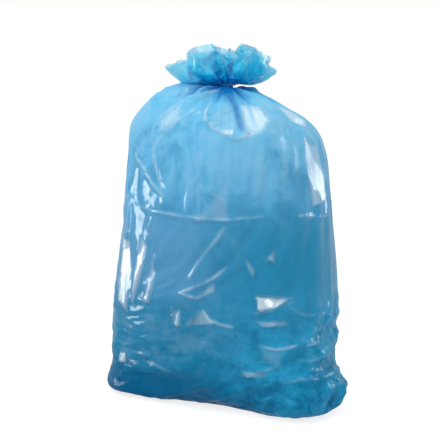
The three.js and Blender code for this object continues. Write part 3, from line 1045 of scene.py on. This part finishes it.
def ruffleShape(u, t):
    # places for the film's own coordinates: u once round, t from the neck to the rim
    r = ruffleSetup
    draw = np.random.default_rng(noiseSeed)
    widths = draw.uniform(*r["widths"], r["pleats"])
    edges = np.concatenate([[0], np.cumsum(widths)]) / widths.sum()
    heights = draw.uniform(*r["heights"], r["pleats"])
    pleat = np.minimum((u * r["pleats"]).astype(int), r["pleats"] - 1)
    share = u * r["pleats"] - pleat
    steps, levels = 240, 32
    across, out = meanderTable(steps, levels + 1)
    level = np.clip(t / r["meanderFull"], 0, 1) * levels
    row = np.minimum(level.astype(int), levels - 1)
    part = level - row
    column = np.minimum((share * steps).round().astype(int), steps)
    x = across[row, column] * (1 - part) + across[row + 1, column] * part
    y = out[row, column] * (1 - part) + out[row + 1, column] * part
    angle = (edges[pleat] + (edges[pleat + 1] - edges[pleat]) * x) * 360
    reach, rise, sag = byAngle(angle, r["rim"], 1), byAngle(angle, r["rim"], 2), byAngle(angle, r["sag"], 1)
    side = np.clip((reach - r["sideFrom"]) / r["sideOver"], 0, 1)
    # the film leaves the neck along a curve through four knots of reach and height
    knots = [
        (np.full_like(t, r["neckRadius"]), np.full_like(t, 0.0)),
        (np.full_like(t, r["neckRadius"]) + 0.004, 0.014 - 0.010 * side),
        (reach * 0.8, rise * 0.45 * (1 - side) - sag * side),
        (reach, rise),
    ]
    shares = [(1 - t) ** 3, 3 * t * (1 - t) ** 2, 3 * t * t * (1 - t), t**3]
    radius = sum(w * k[0] for w, k in zip(shares, knots))
    height = sum(w * k[1] for w, k in zip(shares, knots))
    slopes = [-3 * (1 - t) ** 2, 3 * (1 - t) ** 2 - 6 * t * (1 - t), 6 * t * (1 - t) - 3 * t * t, 3 * t * t]
    goesOut = sum(w * k[0] for w, k in zip(slopes, knots))
    goesUp = sum(w * k[1] for w, k in zip(slopes, knots))
    length = np.hypot(goesOut, goesUp)
    # the pleats stand out square to that curve
    pleatWidth = 2 * math.pi * radius / r["pleats"]
    depth = y * pleatWidth * r["depth"] * heights[pleat]
    radius = radius + goesUp / length * depth
    height = height - goesOut / length * depth
    a = np.radians(angle)
    places = np.stack([radius * np.sin(a), -radius * np.cos(a), height], axis=1)
    # crumples follow the film laid out, rolled up so that it meets itself
    rolled = r["filmRound"] / (2 * math.pi)
    turn = 2 * math.pi * u
    own = np.stack([rolled * np.cos(turn), rolled * np.sin(turn), t * r["filmTall"]], axis=1)
    crumple = noiseField(own, r["crumpleSize"]) * r["crumple"] * 2
    crumple += noiseField(own, r["fineSize"]) * r["fine"] * 2
    crumple[:, 2] *= r["crumpleUp"]
    return places + crumple * np.clip(t * 1.4, 0, 1)[:, None] + np.array(neck)


ruffleLooks = {
    "rays": {"Scale": 7.0, "Detail": 5.0, "Roughness": 0.7},
    "raysColour": 0.7,
    "raysClear": 0.5,
    "clearFrom": (0.3, 1.0),  # share of the way to the rim
    "clear": 0.32,
    "dense": 0.97,
    "wrinkles": {"Scale": 42.0, "Detail": 3.0, "Roughness": 0.6},
}


def ruffleMaterial():
    looks = ruffleLooks
    sheet = ShaderSheet("ruffleFilm")
    place = sheet.place()
    share = sheet.attribute("share")
    ways = sheet.vector("NORMALIZE", sheet.vector("SUBTRACT", place, tuple(neck)))
    rays = sheet.noise(ways, looks["rays"]) - 0.5
    stops = {"stops": ruffleColours}
    colour = sheet.node("ShaderNodeValToRGB", stops, share + rays * looks["raysColour"])
    clear = (share + rays * looks["raysClear"]).ramp(*looks["clearFrom"], smooth=False)
    wrinkles = sheet.noise(place, looks["wrinkles"])
    return sheet.finish(
        Base_Color=colour,
        Roughness=0.3,
        Specular_IOR_Level=0.02,
        Coat_Weight=1.0,
        Coat_Roughness=0.05,
        Coat_IOR=1.35,
        Alpha=clear * -looks["clear"] + looks["dense"],
        Normal=sheet.node("ShaderNodeBump", {}, Height=wrinkles, Strength=0.8, Distance=0.005),
    )


def makeRuffle():
    r = ruffleSetup
    bpy.ops.object.select_all(action="DESELECT")
    bpy.ops.mesh.primitive_grid_add(x_subdivisions=r["columns"], y_subdivisions=r["rows"], size=1)
    ruffle = bpy.context.object
    ruffle.name = "ruffle"
    flat = points(ruffle)
    setPoints(ruffle, ruffleShape(flat[:, 0] + 0.5, flat[:, 1] + 0.5))
    ruffle.data.attributes.new("share", "FLOAT", "POINT").data.foreach_set("value", flat[:, 1] + 0.5)
    editMode("EDIT")
    bpy.ops.mesh.select_all(action="SELECT")
    bpy.ops.mesh.remove_doubles(threshold=bagSetup["mergeDistance"])
    editMode("OBJECT")
    bpy.ops.object.shade_smooth()
    ruffle.data.materials.append(ruffleMaterial())
    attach(ruffle, "root")
    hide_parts("bag")


makeRuffle()

print("stage: tie")

tieSetup = {
    "segments": (160, 24),
    "flatness": 0.55,  # of the band's section: how far it stands out for its height
    "colour": (0.002, 0.130, 0.450),
    "paleColour": (0.004, 0.22, 0.60),
    "gathers": {"Scale": 240.0, "Detail": 3.0},  # how fine the gathers across the band are
}


def tieMaterial():
    sheet = ShaderSheet("tieFilm")
    ways = sheet.vector("SUBTRACT", sheet.place(), tuple(neck))
    gathers = sheet.noise(ways, tieSetup["gathers"])
    return sheet.finish(
        Base_Color=sheet.blend(gathers.ramp(0.35, 0.7), tieSetup["colour"], tieSetup["paleColour"]),
        Roughness=0.35,
        Specular_IOR_Level=0.1,
        Coat_Weight=1.0,
        Coat_Roughness=0.1,
        Normal=sheet.node("ShaderNodeBump", {}, Height=gathers, Strength=0.3, Distance=0.0004),
    )


def makeTie():
    low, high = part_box("neck_tie")
    outer, half = (high.x - low.x) / 2, (high.z - low.z) / 2
    flatness = tieSetup["flatness"]
    bpy.ops.object.select_all(action="DESELECT")
    around, across = tieSetup["segments"]
    bpy.ops.mesh.primitive_torus_add(
        location=(0, 0, 0),
        major_radius=outer - half * flatness,
        minor_radius=half * flatness,
        major_segments=around,
        minor_segments=across,
    )
    tie = bpy.context.object
    tie.name = "tie"
    places = points(tie)
    places[:, 2] /= flatness
    setPoints(tie, places + np.array(neck))
    bpy.ops.object.shade_smooth()
    tie.data.materials.append(tieMaterial())
    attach(tie, "root")
    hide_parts("neck_tie")


makeTie()

print("stage: done")
